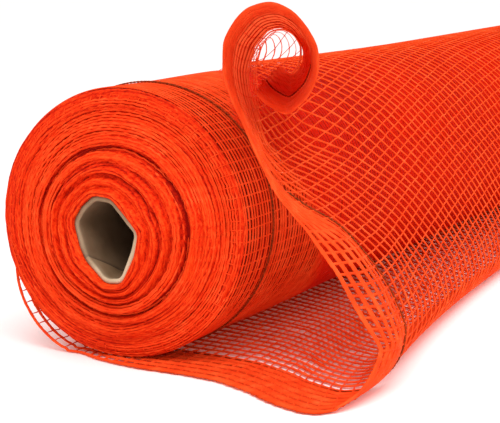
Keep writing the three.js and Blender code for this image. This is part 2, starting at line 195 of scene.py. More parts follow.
def roll_radius(place):
    return ROLL_RADIUS - ROLL_TAPER.narrower * smooth(place / ROLL_TAPER.over)


def waist(place):
    return between(WAISTS, "place", "depth", place)


def axis_height(place):
    return roll_radius(place) + UNDER_ROLL


def lie_radius(place):
    return roll_radius(place) + WRAP_OFFSET


def all_round(count):
    return np.arange(count) * 360 / count


def outward(angles):
    """Directions (y, z) away from the roll's axis; angles run from the front over the top."""
    turn = np.radians(angles)
    return np.stack([-np.cos(turn), np.sin(turn)], -1)


def outward_normals(angles):
    return np.column_stack([np.zeros(len(angles)), outward(angles)])


def on_roll(place, angle, radius=None):
    """Points (y, z) on a circle round the roll's axis."""
    radius = lie_radius(place) if radius is None else radius
    turn = np.radians(angle)
    return np.stack([-radius * np.cos(turn), axis_height(place) + radius * np.sin(turn)], -1)


def clear_of_roll(place, points, extra=0.0):
    height = points[..., 1] - axis_height(place)
    push = np.maximum(1.0, (lie_radius(place) + extra) / np.hypot(points[..., 0], height))
    return np.stack([points[..., 0] * push, axis_height(place) + height * push], -1)


def tangent_line(fold, circle):
    """Where a taut line leaves one circle (y, z, radius) for another: the point, its side and angle."""
    dy, dz = circle[0] - fold[0], circle[1] - fold[1]
    heading = math.atan2(dz, dy) + math.asin((circle[2] - fold[2]) / math.hypot(dy, dz))
    side = np.array([-math.sin(heading), math.cos(heading)])
    start = np.array(fold[:2]) + fold[2] * side
    return start, side, math.degrees(math.atan2(side[1], -side[0]))


def slope_to(fold, place, radius, target):
    """The taut way from the fold to a point above the roll, and the angle where it leaves the fold."""
    height = axis_height(place)
    start, side, angle = tangent_line(fold, (target[0], target[1], 0.0))
    to_axis = np.array([-start[0], height - start[1]])
    heading = np.array([side[1], -side[0]])
    touch, _, touch_angle = tangent_line(fold, (0.0, height, radius))
    distance = max(radius, math.hypot(target[0], target[1] - height))
    target_angle = math.degrees(math.atan2(target[1] - height, -target[0]))
    leave_angle = target_angle - math.degrees(math.acos(radius / distance))
    reach = math.hypot(*(target - start))
    passes = float(to_axis @ heading)
    if -float(to_axis @ side) >= radius or passes >= reach or leave_angle <= touch_angle:
        return np.array([start, target]), angle
    steps = max(2, math.ceil((leave_angle - touch_angle) / 2))
    arc = on_roll(place, np.linspace(touch_angle, leave_angle, steps + 1), radius)
    return np.vstack([[touch], arc, [target]]), touch_angle


def run_lengths(points):
    steps = np.linalg.norm(np.diff(points, axis=0), axis=1)
    return np.concatenate([[0.0], np.cumsum(steps)])


def resample(values, at_length, lengths):
    return np.column_stack([np.interp(at_length, lengths, column) for column in values.T])


def evenly(points, count):
    lengths = run_lengths(points)
    return resample(points, lengths[-1] * np.arange(1, count + 1) / count, lengths)


def cone_closed(u):
    return float(ramp(u, CONE.membrane, CONE.end - CONE.membrane))


def cone_size(u):
    if u < CONE.membrane:
        return mix(1.0, CONE.narrowed, u / CONE.membrane)
    return max(CONE.least, CONE.narrowed * (1 - cone_closed(u)))


def curl_points(u, share):
    """The way once round the curl at one distance from the selvedge; past the cone it lies on the roll."""
    share = np.asarray(share, float)
    flat = on_roll(u, mix(CONE.angle, CUT_END_ANGLE, share))
    if u >= CONE.end:
        return np.column_stack([np.full(share.shape, u), flat])
    way = {"share": np.arange(len(CURL_WAY["x"])) / (len(CURL_WAY["x"]) - 1), **CURL_WAY}
    opened = cone_closed(u)
    lip = smooth(share / MOUTH_LIP["foot"]) * smooth(u / MOUTH_LIP["reach"]) * (1 - opened)
    size = np.maximum(CONE.least, cone_size(u) - MOUTH_LIP["narrowed"] * lip)
    back = u / CONE.end
    x = u + (MOUTH["x"] + between(way, "share", "x", share)) * (1 - back)
    sides = []
    for k, side in enumerate("yz"):
        middle = mix(MOUTH[side], on_roll(u, CONE.angle)[k], back)
        way_round = middle + between(way, "share", side, share) * size + MOUTH_LIP[side] * lip
        sides.append(mix(way_round, flat[:, k], opened))
    points = np.column_stack(sides)
    return np.column_stack([x, clear_of_roll(u, points, CONE.clearance * (1 - back))])


def sag_points(u, touch):
    """The way from where the cloth leaves the roll down to where it touches the floor."""
    leave = on_roll(u, LEAVE_ANGLE)
    pull = SAG.pull * math.hypot(*(touch - leave))
    turn = math.radians(LEAVE_ANGLE)
    below = leave + pull * np.array([math.sin(turn), math.cos(turn)])
    below[0] += fading(SAG, u)
    behind = touch + np.array([SAG.behind * pull, 0.0])
    t = (np.arange(ROWS.sag) / ROWS.sag)[:, None]
    sag = (1 - t) ** 3 * leave + 3 * (1 - t) ** 2 * t * below + 3 * (1 - t) * t * t * behind + t**3 * touch
    sag = clear_of_roll(u, sag)
    sag[:, 1] = np.maximum(NET_THICKNESS / 2, sag[:, 1])
    return sag


def cloth_column(u):
    """The loose end's middle at one distance from the selvedge, and how far up the slope each point is."""
    straightened = 1 - u / ROLL_LENGTH
    middle = NET_THICKNESS / 2
    lead = on_roll(u, mix(START_ANGLE, LEAVE_ANGLE, np.arange(ROWS.lead) / ROWS.lead))
    touch = np.array([TOUCH.y + fading(TOUCH, u), middle])
    sag = sag_points(u, touch)
    fold_x = u + FLOOR_SLIDE["slide"][-1] * straightened
    radius = FOLD.radius + fading(FOLD, max(fold_x, FOLD.start))
    corner = FRONT.corner * (max(0.0, -fold_x) / FRONT.over) ** FRONT.power
    front = -(FRONT.y + fading(FRONT, fold_x)) + corner
    fold = (front + radius, middle + radius, radius)
    floor_y = mix(touch[0], fold[0], np.arange(ROWS.floor) / ROWS.floor)
    floor = np.column_stack([floor_y, np.full(ROWS.floor, middle)])
    foot = curl_points(u, [0.0])[0]
    slope, leaves_fold = slope_to(fold, u, lie_radius(u) + fading(LIFT, u), foot[1:])
    bend = mix(-90.0, leaves_fold, np.arange(ROWS.fold + 1) / ROWS.fold)
    round_fold = np.array(fold[:2]) + radius * outward(bend)
    taut = evenly(slope, ROWS.slope)
    ends = np.vstack([round_fold[-1:], taut, taut[-1:]])
    heading = ends[2:] - ends[:-2]
    heading /= np.linalg.norm(heading, axis=1)[:, None]
    up = np.arange(1, ROWS.slope + 1) / ROWS.slope
    most = mix(BOW.selvedge, BOW.cloth, float(smooth(u / BOW.reach))) * math.exp(-u / BOW.fade)
    taut = taut + (most * np.sin(math.pi * up))[:, None] * np.column_stack([-heading[:, 1], heading[:, 0]])
    points = np.vstack([lead, sag, floor, round_fold, taut])
    lengths = run_lengths(points)
    floor_start = ROWS.lead + ROWS.sag
    front_row = floor_start + ROWS.floor + ROWS.fold // 2
    row = np.arange(len(points))
    past = lengths - lengths[floor_start]
    scale = np.where(row < floor_start, 1.0, FLOOR_SLIDE["along"][-1] / past[front_row])
    share = (lengths - lengths[front_row]) / (lengths[-1] - lengths[front_row])
    on_floor = between(FLOOR_SLIDE, "along", "slide", past * scale) * straightened
    on_slope = between(SLOPE_SLIDE, "share", "slide", share) * straightened
    on_slope = on_slope + (foot[0] - u - SLOPE_SLIDE["slide"][-1] * straightened) * share**2
    x = u + np.where(row <= front_row, on_floor, on_slope)
    round_curl = np.arange(1, ROWS.curl + 1) / ROWS.curl
    column = np.vstack([np.column_stack([x, points]), curl_points(u, round_curl)])
    column[:, 0] += NEAR_X
    share[: front_row + 1] = np.clip(past[: front_row + 1] / past[front_row] - 1, -1, 0)
    return column, np.concatenate([share, 1 + round_curl])


def cloth_drift(u, share):
    """The drift of the chain at u from the selvedge, for each share of the way up the slope."""
    drift = [float(between(DRIFT, "cloth", column, u)) for column in DRIFT_SHARES]
    return between({"share": list(DRIFT_SHARES.values()), "drift": drift}, "share", "drift", share)


def row_lead(place, share):
    past = place - ROW_LEAD.start
    far = ROW_LEAD.most * np.tanh(past / ROW_LEAD.over)
    return np.where(past > 0, far, ROW_LEAD.band * past) * smooth((share + 0.8) / 0.9)


class ClothSurface:
    """The loose end's middle surface on a fine grid of columns, with a smooth normal at each point."""

    def __init__(self, step=4.0):
        self.places = np.arange(0.0, ROLL_LENGTH + step / 2, step)
        columns = [cloth_column(u) for u in self.places]
        self.points = np.array([column for column, _ in columns])
        self.shares = np.array([share for _, share in columns])
        along = np.gradient(self.points, axis=1)
        across = np.gradient(self.points, axis=0)
        normals = np.cross(across, along)
        self.normals = normals / np.linalg.norm(normals, axis=2)[..., None]
        self.lengths = np.array([run_lengths(points) for points in self.points])

    def at(self, values, place):
        """Values of every row at one place for each row, between the two nearest columns."""
        step = self.places[1]
        k = np.clip((place / step).astype(int), 0, len(self.places) - 2)
        t = np.clip(place / step - k, 0.0, 1.0)
        row = np.arange(values.shape[1])
        shape = (-1,) + (1,) * (values.ndim - 2)
        return mix(values[k, row], values[k + 1, row], t.reshape(shape))

    def chain(self, u):
        """One chain of the net: its points, normals and flat cloth length along it, row by row."""
        share = self.at(self.shares, np.full(self.points.shape[1], u))
        place = np.clip(u + cloth_drift(u, share), 0.0, ROLL_LENGTH)
        length = self.at(self.lengths, place) + row_lead(place, share)
        return self.at(self.points, place), self.at(self.normals, place), length, share


def linear_colour(code):
    """A linear RGBA colour from an sRGB hex value."""
    channels = [int(code[k : k + 2], 16) / 255 for k in (1, 3, 5)]
    linear = [c / 12.92 if c <= 0.04045 else ((c + 0.055) / 1.055) ** 2.4 for c in channels]
    return (*linear, 1.0)


def add_object(name, data):
    """Adds a mesh, light or camera to the scene as an object."""
    added = bpy.data.objects.new(name, data)
    bpy.context.scene.collection.objects.link(added)
    return added


def mesh_piece(name, points, quads, material, layers=None, uv=None):
    """A smooth mesh object from points in millimetres and four-cornered faces."""
    mesh = bpy.data.meshes.new(name)
    mesh.vertices.add(len(points))
    mesh.vertices.foreach_set("co", (np.asarray(points, float) * MM).ravel())
    mesh.loops.add(quads.size)
    mesh.loops.foreach_set("vertex_index", quads.ravel().astype(np.int32))
    mesh.polygons.add(len(quads))
    mesh.polygons.foreach_set("loop_start", np.arange(0, quads.size, 4, dtype=np.int32))
    mesh.update(calc_edges=True)
    mesh.polygons.foreach_set("use_smooth", np.ones(len(quads), bool))
    for key, values in (layers or {}).items():
        layer = mesh.attributes.new(key, "FLOAT", "POINT")
        layer.data.foreach_set("value", np.asarray(values, np.float32))
    if uv is not None:
        layer = mesh.uv_layers.new(name="wound")
        layer.data.foreach_set("uv", np.asarray(uv, np.float32)[quads.ravel()].ravel())
    mesh.materials.append(material)
    return add_object(name, mesh)


def grid_quads(rows, columns, wrap_rows=False, wrap_columns=False):
    """The faces of a grid of points, numbered row by row."""
    i = np.arange(rows if wrap_rows else rows - 1)
    j = np.arange(columns if wrap_columns else columns - 1)
    i, j = (part.ravel() for part in np.meshgrid(i, j, indexing="ij"))
    below, beside = (i + 1) % rows, (j + 1) % columns
    corners = [i * columns + j, i * columns + beside, below * columns + beside, below * columns + j]
    return np.column_stack(corners)


# Cross-sections of the yarns: across is along the cloth, in half widths, and up is off it, in half heights.
# A tape and a round yarn both have four sides and differ in their width and height.
PLAIN_YARN = np.array([[-1.0, 0.0], [0.0, 1.0], [1.0, 0.0], [0.0, -1.0]])
TWIN_CHAIN = np.array([[-1, 0], [-0.7, 0.9], [-0.35, 1], [0, 0.35], [0.35, 1], [0.7, 0.9], [1, 0], [0, -0.9]])
# A yarn's cut end is this much of its width.
YARN_TIP = 0.3
# Yarns that lie on the floor are pressed flat this far above it, in millimetres.
FLOOR_CLEARANCE = 0.05


def unit(vectors):
    return vectors / np.maximum(np.linalg.norm(vectors, axis=1), 1e-6)[:, None]


class YarnBundle:
    """Many yarns gathered into one mesh."""

    def __init__(self):
        self.points, self.quads, self.shade, self.count = [], [], [], 0

    def add(self, line, normals, section, width, height, shade=1.0, closed=False):
        """One yarn along a line. width and height are its full size, one number or one for each point."""
        heading = np.gradient(line, axis=0)
        if closed:
            heading = np.roll(line, -1, axis=0) - np.roll(line, 1, axis=0)
        heading = unit(heading)
        side = unit(np.cross(heading, normals))
        up = np.cross(side, heading)
        reach = []
        for size, way, part in ((width, side, 0), (height, up, 1)):
            size = np.broadcast_to(np.asarray(size, float), len(line)).copy()
            if not closed:
                size[[0, -1]] *= YARN_TIP
            reach.append(section[None, :, part, None] * size[:, None, None] / 2 * way[:, None])
        points = line[:, None] + reach[0] + reach[1]
        quads = grid_quads(len(line), len(section), wrap_rows=closed, wrap_columns=True)
        self.points.append(points.reshape(-1, 3))
        self.quads.append(quads + self.count)
        self.shade.append(np.broadcast_to(np.asarray(shade, float), len(line)).repeat(len(section)))
        self.count += len(line) * len(section)

    def piece(self, name, material):
        points = np.vstack(self.points)
        points[:, 2] = np.maximum(points[:, 2], FLOOR_CLEARANCE)
        layers = {"shade": np.concatenate(self.shade)}
        return mesh_piece(name, points, np.vstack(self.quads), material, layers)


def core_radius(angle):
    """Distance from the core's centre to the crushed tube's inside, with its corners a little rounded."""
    angles = np.array(CORE_CORNERS["angle"], float)
    radii = np.array(CORE_CORNERS["radius"], float)
    leans = (-6.0, -3.0, 0.0, 3.0, 6.0)
    total = 0.0
    for lean in leans:
        turn = (np.asarray(angle, float) + lean) % 360
        after = np.searchsorted(angles, turn, side="right") % len(angles)
        before = (after - 1) % len(angles)
        spread = np.radians((angles[after] - angles[before]) % 360)
        into = np.radians((turn - angles[before]) % 360)
        across = radii[before] * np.sin(into) + radii[after] * np.sin(spread - into)
        total = total + radii[before] * radii[after] * np.sin(spread) / across
    return total / len(leans)


def core_ring(x, outside, angles):
    centre = np.array([CORE_CENTRE.y, CORE_CENTRE.z])
    radius = core_radius(angles) + outside
    return np.column_stack([np.full(len(angles), x), centre + radius[:, None] * outward(angles)])


def turn_ring(x, share, angles, dip=0.0, lowest=LOWEST):
    """A ring of the roll's turns: share 0 lies on the core and 1 is the outside."""
    place = np.clip(np.mean(x) - NEAR_X, 0, ROLL_LENGTH)
    bore = core_ring(0.0, CORE_WALL + GAP, angles)[:, 1:]
    centre = np.array([CORE_CENTRE.y, CORE_CENTRE.z])
    mean = np.linalg.norm(bore - centre, axis=1).mean()
    out = outward(angles)
    inner = mix(centre + mean * out, bore, (1 - share) ** 2)
    outer = np.array([0.0, axis_height(place)]) + (roll_radius(place) - dip) * out
    ring = mix(inner, outer, share)
    ring[:, 1] = np.maximum(ring[:, 1], lowest)
    return np.column_stack([np.broadcast_to(x, len(angles)), ring])


def waves(angles, phases, counts, sizes):
    """A smooth wavy value round the roll, as a sum of a few waves."""
    turn = np.radians(angles)
    return sum(size * np.sin(count * turn + phase) for phase, count, size in zip(phases, counts, sizes))


def add_node(tree, kind, inputs=None, **settings):
    """Adds a node. inputs maps a socket's name or number to a value, or to the socket or node that feeds it.

    A node feeds another by its first output.
    """
    node = tree.nodes.new("ShaderNode" + kind)
    for key, value in settings.items():
        setattr(node, key, value)
    for key, value in (inputs or {}).items():
        if isinstance(value, bpy.types.Node):
            value = value.outputs[0]
        if isinstance(value, bpy.types.NodeSocket):
            tree.links.new(value, node.inputs[key])
        else:
            node.inputs[key].default_value = value
    return node


def new_material(name):
    material = bpy.data.materials.new(name)
    material.use_nodes = True
    material.node_tree.nodes.clear()
    return material, material.node_tree


def colour_steps(node, steps):
    """Sets a colour ramp's stops. steps maps a place on the ramp to its sRGB hex value."""
    ramp = node.color_ramp
    ramp.elements.remove(ramp.elements[-1])
    for k, (place, colour) in enumerate(steps.items()):
        stop = ramp.elements.new(place) if k else ramp.elements[0]
        stop.position, stop.color = place, linear_colour(colour)


def netting_yarn():
    """Orange polyethylene tape yarn, extruded and knitted: satiny, with slightly uneven colour."""
    material, tree = new_material("Knitted HDPE tape yarn")
    place = add_node(tree, "TexCoord").outputs["Object"]
    # Colour blotches about 12 mm across, as the stretched film takes up its pigment unevenly.
    blotches = add_node(tree, "TexNoise", {"Vector": place, "Scale": 80.0, "Detail": 3.0})
    colour = add_node(tree, "ValToRGB", {"Fac": blotches})
    colour_steps(colour, {0.3: "#E44018", 0.52: "#F04C1E", 0.75: "#FA5E2C"})
    # Painted shade: yarns under other layers are painted toward a deep red, as they get less light than the
    # open scene gives them; shade 0 is the deepest.
    shade = add_node(tree, "Attribute", attribute_name="shade").outputs["Fac"]
    lit = add_node(tree, "Mix", {0: shade, 6: linear_colour("#D81A06"), 7: colour}, data_type="RGBA")
    # The tape is split into fibrils about 0.2 mm apart. They are drawn at 0.5 mm so that they show.
    fibrils = add_node(tree, "TexNoise", {"Vector": place, "Scale": 2000.0, "Detail": 2.0})
    relief = add_node(tree, "Bump", {"Height": fibrils, "Strength": 0.35, "Distance": 0.0002})
    looks = {"Base Color": lit.outputs[2], "Roughness": 0.55, "IOR": 1.5, "Specular IOR Level": 0.01}
    surface = add_node(tree, "BsdfPrincipled", {**looks, "Normal": relief})
    # The curl's thin net glows with the light that falls on its outside: shade above 1 lets it through.
    through = add_node(tree, "Math", {0: shade, 1: 1.0}, operation="SUBTRACT", use_clamp=True)
    glow = add_node(tree, "BsdfTranslucent", {"Color": linear_colour("#FFA078")})
    both = add_node(tree, "MixShader", {0: through, 1: surface, 2: glow})
    add_node(tree, "OutputMaterial", {"Surface": both})
    return material


def wound_netting():
    """Hundreds of turns of the netting seen edge on: soft ridges of folded yarn, with painted shade that
    darkens the gaps between them.
    """
    material, tree = new_material("Wound netting edges")
    wound = add_node(tree, "UVMap", uv_map="wound")
    # The shade attribute is painted shade: where it is low the colour runs down to a deep red, in the gaps
    # between folds, in the grooves and on the body under the outer turn's chains.
    height = add_node(tree, "Attribute", attribute_name="shade").outputs["Fac"]
    # The wound map is in millimetres: along the turn and across the turns. Loops of yarn are about
    # 4 mm long and 0.9 mm high where the turns' edges lie on each other, and single stitches are finer.
    for scale, detail, share in (((0.28, 1.1, 1.0), 4.0, 0.75), ((0.9, 2.2, 1.0), 3.0, 0.45)):
        stretch = add_node(tree, "Mapping", {"Vector": wound, "Scale": scale})
        loops = add_node(tree, "TexNoise", {"Vector": stretch, "Scale": 1.0, "Detail": detail})
        height = add_node(tree, "Math", {0: loops, 1: share, 2: height}, operation="MULTIPLY_ADD")
    colour = add_node(tree, "ValToRGB", {"Fac": height})
    colour_steps(colour, {0.5: "#8E0A02", 0.74: "#D02404", 0.92: "#E84010", 1.0: "#F24C18"})
    relief = add_node(tree, "Bump", {"Height": height, "Strength": 0.6, "Distance": 0.0009})
    looks = {"Base Color": colour, "Roughness": 0.7, "IOR": 1.5, "Specular IOR Level": 0.06}
    surface = add_node(tree, "BsdfPrincipled", {**looks, "Normal": relief})
    add_node(tree, "OutputMaterial", {"Surface": surface})
    return material


def marker_yarn():
    """Dark spun marker thread: a dull fibre with light and dark plies twisted together."""
    material, tree = new_material("Spun marker thread")
    place = add_node(tree, "TexCoord").outputs["Object"]
    # Plies cross the thread every 2 mm.
    plies = add_node(tree, "TexNoise", {"Vector": place, "Scale": 450.0, "Detail": 2.0})
    colour = add_node(tree, "ValToRGB", {"Fac": plies})
    colour_steps(colour, {0.35: "#6E2E14", 0.6: "#A83C18"})
    looks = {"Base Color": colour, "Roughness": 0.85, "IOR": 1.5, "Specular IOR Level": 0.05}
    add_node(tree, "OutputMaterial", {"Surface": add_node(tree, "BsdfPrincipled", looks)})
    return material


def core_board():
    """Grey-brown spiral-wound paper tube: matt board with fine fibres and the seams of its plies."""
    material, tree = new_material("Spiral-wound paper board")
    wound = add_node(tree, "UVMap", uv_map="wound")
    place = add_node(tree, "TexCoord").outputs["Object"]
    # Plies 70 mm wide wind round the tube, so a seam crosses the bore at a slant.
    slant = add_node(tree, "Mapping", {"Vector": wound, "Rotation": (0.0, 0.0, 0.9)})
    saw = {"Vector": slant, "Scale": 0.0045, "Distortion": 0.4, "Detail": 1.0}
    seams = add_node(tree, "TexWave", saw, wave_profile="SAW").outputs["Fac"]
    seam_edge = add_node(tree, "ValToRGB", {"Fac": seams})
    colour_steps(seam_edge, {0.0: "#4A3826", 0.04: "#7A6046", 1.0: "#8A6E50"})
    # Shade 1 is the pale cut edge of the board, which the mesh paints paler on the side toward the light.
    shade = add_node(tree, "Attribute", attribute_name="shade").outputs["Fac"]
    pale = add_node(tree, "Mix", {0: shade, 6: seam_edge, 7: linear_colour("#C9B598")}, data_type="RGBA")
    # Stains about 17 mm across.
    stains = add_node(tree, "TexNoise", {"Vector": place, "Scale": 60.0, "Detail": 3.0})
    mottle = add_node(tree, "ValToRGB", {"Fac": stains})
    colour_steps(mottle, {0.3: "#D8D0C4", 0.7: "#FFFFFF"})
    layers = {0: 1.0, 6: pale.outputs[2], 7: mottle}
    tinted = add_node(tree, "Mix", layers, data_type="RGBA", blend_type="MULTIPLY")
    # Fibres about 1 mm apart.
    fibres = add_node(tree, "TexNoise", {"Vector": place, "Scale": 900.0, "Detail": 5.0})
    relief = add_node(tree, "Bump", {"Height": fibres, "Strength": 0.4, "Distance": 0.0003})
    looks = {"Base Color": tinted.outputs[2], "Roughness": 0.9, "IOR": 1.45, "Normal": relief}
    add_node(tree, "OutputMaterial", {"Surface": add_node(tree, "BsdfPrincipled", looks)})
    return material


def studio_floor():
    """White matt and even floor, with a faint painted warm glow of its own that lightens the shadows under
    the net.
    """
    material, tree = new_material("White floor with painted warm glow")
    looks = {"Base Color": linear_colour("#FFFFFF"), "Roughness": 0.9}
    # Painted glow: a faint warm orange light from the floor itself, which lightens the shade under the net.
    lit = {"Emission Color": linear_colour("#FF9070"), "Emission Strength": 0.09}
    surface = add_node(tree, "BsdfPrincipled", {**looks, **lit})
    add_node(tree, "OutputMaterial", {"Surface": surface})
    return material


def setting(name, description, default, unit="LENGTH"):
    """One of a maker's settings, a length unless another unit is given."""
    return FloatProperty(name=name, description=description, default=default, unit=unit)


class NettingSizes(bpy.types.PropertyGroup):
    """Sizes of the knitted net, in metres."""

    row_pitch: setting("Row pitch", "From one cross yarn to the next in the loose end", 0.0080)
    wrap_row_pitch: setting("Wrap row pitch", "From one cross yarn to the next on the roll", 0.0074)
    chain_pitch: setting("Chain pitch", "From one chain of stitches to the next", 0.0115)
    chain_width: setting("Chain width", "Width of a chain of stitches", 0.0026)
    band_chain_width: setting("Selvedge chain width", "Width of the selvedge's twin chains", 0.0064)
    cross_yarn: setting("Cross yarn", "Thickness of a cross yarn", 0.0011)
    wrap_pitch: setting("Wrap pitch", "From chain to chain on the outside of the roll", 0.0044)
    wrap_chain_width: setting("Wrap chain width", "Width of a chain on the outside of the roll", 0.0026)
    face_ridge: setting("Face ridge", "Height of the ridges on the end faces", 0.0011)


class StudioSettings(bpy.types.PropertyGroup):
    """Light and backdrop."""

    key_light: setting("Key light", "Power of the key softbox", 20.0, "POWER")
    fill_light: setting("Fill light", "Power of the fill softbox", 6.0, "POWER")
    sky: FloatVectorProperty(
        name="Sky",
        description="Colour of the light all round",
        default=(1.0, 0.99, 0.985),
        subtype="COLOR",
        size=3,
    )
    sky_strength: setting("Sky strength", "Strength of the light all round", 1.0, "NONE")


# The selvedge band's twin chains, in millimetres from the selvedge, and where its marker thread lies.
BAND_CHAINS = [0.0, 9.2, 18.2, 27.0, 35.5, 43.5]
MARKER_AT = 51.0
# Chains nearer the selvedge than this belong to the band, with the marker's own chain.
BAND_END = MARKER_AT + 1
# The net stops this short of the far selvedge.
FAR_MARGIN = 2
# The last turn of the net inside the curl ends here, on the scale of DRIFT_SHARES.
TAIL_END = 1.86
# A row has five stitches. Further from the band, where they are small in the picture, fewer are drawn.
STITCHES_A_ROW = 5
STITCHES = {"near": 3, "near_to": 420, "far": 2}
# A stitch bulges by this share of its chain's width.
STITCH_SWELL = 0.06
# How far the chains wander from their line, and how high they lie on the floor, in millimetres.
WANDER = Values(band=0.25, net=0.45)
FLOOR_LAY = Values(height=0.9, uneven=0.25)
# How much of the room between them the chains fill, by share of the way up to the curl: they open where
# the cloth hangs free and lie close on the floor.
BAND_FULL = {-1: 0.3, -0.92: 0.4, -0.7: 1.1, 0: 1.1, 0.08: 0.5, 0.6: 0.48, 0.8: 0.55, 1: 0.62, 1.1: 1.2}
NET_FULL = {0: 0.5, 0.1: 0.46, 0.4: 0.46, 0.8: 0.36}
# The widest that a chain of the net gets, in widths of a plain chain.
NET_MOST = {-0.98: 0.8, -0.9: 1.5, -0.05: 1.5, 0.05: 1, 1: 1, 1.1: 0.4}
# A name that ends in PAST holds where a smooth change starts and how long it is.
# The cloth is inside the curl past this share, and lets this much light through there.
CURL_PAST = (1.0, 0.1)
GLOW = Values(marker=0.6, band=0.35, net=0.8)
# Behind the curl's mouth the gathered net shows no gaps. Past this distance from the selvedge they open.
LINING = Values(of_room=1.25, height=0.6)
LINING_PAST = (112, 25)
# How much the knots swell a chain.
KNOTS = Values(marker=0.2, band=0.16, net=0.3, wrap=0.2)
# The marker thread's two twisted plies, in millimetres. The cloth hides them past the first share, at the
# foot of the curl, up to the second one, and past that, inside the curl, they are thinner.
PLIES = Values(half_turn=2.4, aside=0.6, lift=0.8, rise=0.4, thick=0.85, hidden=0.65, inside=0.35)
HIDDEN_PAST = (0.8, 0.06)
INSIDE_PAST = (1.55, 0.06)
# The thickness of the cross yarns by share. In the band they are thicker still, except at its two ends.
RUNG = {-0.05: 0.8, 0.05: 1, 1: 1, 1.15: 0.4}
BAND_RUNG = Values(times=1.9, start=-0.95, to=1.05)
# How far a cross yarn bends up or down between two chains, in millimetres, and the fewest points it has.
RUNG_SAG = 0.35
SHORTEST_RUNG = 4


def chain_places(sizes):
    pitch = sizes.chain_pitch / MM
    count = int((ROLL_LENGTH - MARKER_AT - FAR_MARGIN) / pitch)
    return [MARKER_AT + pitch * (k + 1) for k in range(count)]


def by_share(table, share):
    """A value from a table of share to value, on straight lines between them."""
    return np.interp(share, list(table), list(table.values()))


def knots_along(sizes, lengths, stitches):
    """Distances along a chain: one every stitch, so that each cross yarn meets one."""
    step = sizes.row_pitch / MM / stitches
    return np.arange(1, int(lengths[-1] / step)) * step


def loose_end_lines(cloth, sizes):
    """Every chain of the loose end.

    u is its distance from the selvedge in the flat net, stitches the number drawn in a row, at the
    distance of each stitch along it, points and normals where they lie, and share how far up the slope.
    """
    chance = np.random.default_rng(21)
    lines = []
    for u in [*BAND_CHAINS, MARKER_AT, *chain_places(sizes)]:
        points, normals, lengths, share = cloth.chain(u)
        stitches, uneven = STITCHES_A_ROW, WANDER.band
        if u >= BAND_END:
            stitches, uneven = STITCHES["near" if u < STITCHES["near_to"] else "far"], WANDER.net
        at = knots_along(sizes, lengths, stitches)
        at = at[(at > lengths[0]) & (at < np.interp(TAIL_END, share, lengths))]
        line = resample(points, at, lengths)
        face = resample(normals, at, lengths)
        # The wander is smoothed over nine stitches. The six spare ones at each end are cut off.
        steps = chance.normal(0, 1, len(at) + 12)
        wander = np.convolve(steps, np.ones(9) / 3, mode="same")[6:-6] * uneven
        line[:, 0] += wander
        low = line[:, 2] < NET_THICKNESS
        line[low, 2] = FLOOR_LAY.height + FLOOR_LAY.uneven * np.abs(wander[low])
        up = np.interp(at, lengths, share)
        lines.append(Values(u=u, stitches=stitches, at=at, points=line, normals=face, share=up))
    return lines


def beside(lines, k):
    """How far each point of a chain lies from the next chain."""
    line, other = lines[k], lines[k + 1 if k + 1 < len(lines) else k - 1]
    return np.linalg.norm(resample(other.points, line.at, other.at) - line.points, axis=1)


def chain_widths(at, row, width, swell):
    """A chain's width along it: each stitch bulges a little and each knot on a cross yarn more."""
    knot = np.cos(2 * np.pi * at / row) * 0.5 + 0.5
    stitch = np.cos(np.pi * at * STITCHES_A_ROW / row)
    return width * (1 - 0.5 * swell + swell * knot**2 + STITCH_SWELL * stitch)


def marker_plies(thread, line):
    """Adds the two plies of the loose end's marker thread."""
    twist = line.at / PLIES.half_turn * np.pi
    side = unit(np.cross(np.gradient(line.points, axis=0), line.normals))
    inside = ramp(line.share, *INSIDE_PAST)
    hidden = ramp(line.share, *HIDDEN_PAST) * (1 - inside)
    thick = PLIES.thick - PLIES.hidden * hidden - PLIES.inside * inside
    for turn in (0.0, math.pi):
        offset = np.cos(twist + turn)[:, None] * side * PLIES.aside
        rise = (PLIES.lift + PLIES.rise * np.sin(twist + turn)) * (1 - hidden)
        points = line.points + offset + rise[:, None] * line.normals
        thread.add(points, line.normals, PLAIN_YARN, thick, thick)


def chain_shape(line, room, sizes):
    """A chain's section, width, height and shade along it. room is its distance from the next chain."""
    row, plain, share = sizes.row_pitch / MM, sizes.chain_width / MM, line.share
    inside = ramp(share, *CURL_PAST)
    if line.u == MARKER_AT:
        width = chain_widths(line.at, row, plain * 1.4, KNOTS.marker)
        return PLAIN_YARN, mix(width, room * 1.2, inside), 0.8, 1 + GLOW.marker * inside
    if line.u < MARKER_AT:
        full = by_share(BAND_FULL, share)
        most = sizes.band_chain_width / MM * (1.6 - 0.6 * smooth(share / 0.08))
        width = chain_widths(line.at, row, np.clip(room * full, 1.0, most), KNOTS.band)
        return TWIN_CHAIN, width, np.minimum(1.5, width * 0.6), 1 + GLOW.band * inside
    lining = inside * (1 - ramp(line.u, *LINING_PAST))
    most = plain * by_share(NET_MOST, share)
    width = np.clip(room * by_share(NET_FULL, share), 0.7, most)
    width = mix(chain_widths(line.at, row, width, KNOTS.net), room * LINING.of_room, lining)
    height = mix(np.minimum((0.6 - 0.2 * inside) * width, 1.5), LINING.height, lining)
    return PLAIN_YARN, width, height, 1 + GLOW.net * inside


